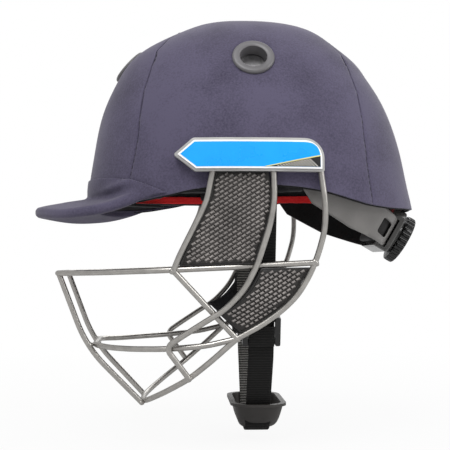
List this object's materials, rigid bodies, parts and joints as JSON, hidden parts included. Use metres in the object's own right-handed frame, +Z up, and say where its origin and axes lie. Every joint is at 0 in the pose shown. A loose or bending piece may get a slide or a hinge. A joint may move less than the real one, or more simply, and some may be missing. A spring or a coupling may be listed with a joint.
{
  "type": "cricket helmet",
  "caption": "Cloth-covered helmet with a peak, a welded wire face guard, ear mesh, a rear size dial and a chin strap with a cup.",
  "frame": {"origin": "middle of the head opening, on the median plane, level with the rim at the brow", "axes": "+Z up, -X the way the face looks, -Y the wearer's left; the cradle, dial and sliders are at the middle of their travel and the strap hangs"},
  "size_m": [0.3151, 0.2138, 0.3349],
  "materials": {
    "cover_cloth": "slate-navy woven cloth, matt",
    "shell_plastic": "moulded dark plastic",
    "liner_foam": "black foam faced with knitted cloth",
    "rim_red": "red binding tape",
    "pad_cloth": "black brushed cloth over foam",
    "vent_plastic": "grey satin plastic",
    "vent_foam": "dark open foam",
    "plate_plastic": "grey moulded plastic",
    "badge_vinyl": "blue printed label with a white border, no name",
    "guard_steel": "satin warm-grey steel wire",
    "fastener_steel": "plain steel",
    "mesh_plastic": "dark grey moulded plastic",
    "band_plastic": "dark grey satin plastic",
    "dial_plastic": "black plastic",
    "webbing": "black woven webbing",
    "buckle_plastic": "black plastic",
    "cup_plastic": "dark grey-brown soft plastic"
  },
  "bodies": {
    "helmet": {"cover_front": "cover_cloth", "cover_rear": "cover_cloth", "cover_crown": "cover_cloth", "peak_cover": "cover_cloth", "hard_shell": "shell_plastic", "peak_board": "shell_plastic", "liner": "liner_foam", "rim_band": "rim_red", "brow_pad": "pad_cloth", "crown_pad": "pad_cloth", "side_pad_left": "pad_cloth", "side_pad_right": "pad_cloth", "jaw_pad_left": "pad_cloth", "jaw_pad_right": "pad_cloth", "vent_ring_front": "vent_plastic", "vent_ring_left": "vent_plastic", "vent_ring_right": "vent_plastic", "vent_screens": "vent_foam", "side_plate_left": "plate_plastic", "side_plate_right": "plate_plastic", "badge_left": "badge_vinyl", "badge_right": "badge_vinyl", "guard_rail": "guard_steel", "guard_middle_loop": "guard_steel", "guard_bottom_loop": "guard_steel", "guard_rear_bar_left": "guard_steel", "guard_rear_bar_right": "guard_steel", "guard_middle_bar_left": "guard_steel", "guard_middle_bar_right": "guard_steel", "guard_front_bar_left": "guard_steel", "guard_front_bar_right": "guard_steel", "guard_diagonal_left": "guard_steel", "guard_diagonal_right": "guard_steel", "guard_upright_left": "guard_steel", "guard_upright_right": "guard_steel", "clamp_plate_left": "guard_steel", "clamp_plate_right": "guard_steel", "guard_screws": "fastener_steel", "guard_nuts": "fastener_steel", "band_rivets": "fastener_steel", "strap_rivets": "fastener_steel", "ear_mesh_upper_left": "mesh_plastic", "ear_mesh_upper_right": "mesh_plastic", "ear_mesh_lower_left": "mesh_plastic", "ear_mesh_lower_right": "mesh_plastic", "band_arm_left": "band_plastic", "band_arm_right": "band_plastic"},
    "cradle": {"cradle_case": "band_plastic", "cradle_cover": "band_plastic", "nape_pad": "pad_cloth"},
    "dial": {"dial": "dial_plastic", "dial_pinion": "dial_plastic", "dial_screw": "fastener_steel"},
    "chin_strap": {"strap_left": "webbing", "strap_right": "webbing", "chin_cup": "cup_plastic"},
    "slider_left": {"slider_left": "buckle_plastic"},
    "slider_right": {"slider_right": "buckle_plastic"}
  },
  "joints": [
    {"name": "cradle_slide", "type": "slide", "parent": "helmet", "child": "cradle", "axis": [-0.866, 0, 0.5], "range_m": [-0.004, 0.014], "deforming": ["band_arm_left", "band_arm_right"]},
    {"name": "dial_turn", "type": "hinge", "parent": "cradle", "child": "dial", "pos_m": [0.1178, 0, -0.0248], "axis": [0.866, 0, -0.5], "range_deg": [-50, 170]},
    {"name": "strap_swing", "type": "hinge", "parent": "helmet", "child": "chin_strap", "pos_m": [0.0035, 0, 0.014], "axis": [0, 1, 0], "range_deg": [-35, 12]},
    {"name": "slider_left_slide", "type": "slide", "parent": "chin_strap", "child": "slider_left", "axis": [0, -0.2292, 0.9734], "range_m": [-0.004, 0.02]},
    {"name": "slider_right_slide", "type": "slide", "parent": "chin_strap", "child": "slider_right", "axis": [0, 0.2292, 0.9734], "range_m": [-0.004, 0.02]}
  ],
  "couplings": [
    {"joint": "dial_turn", "follows": "cradle_slide", "rad_per_m": 200}
  ]
}
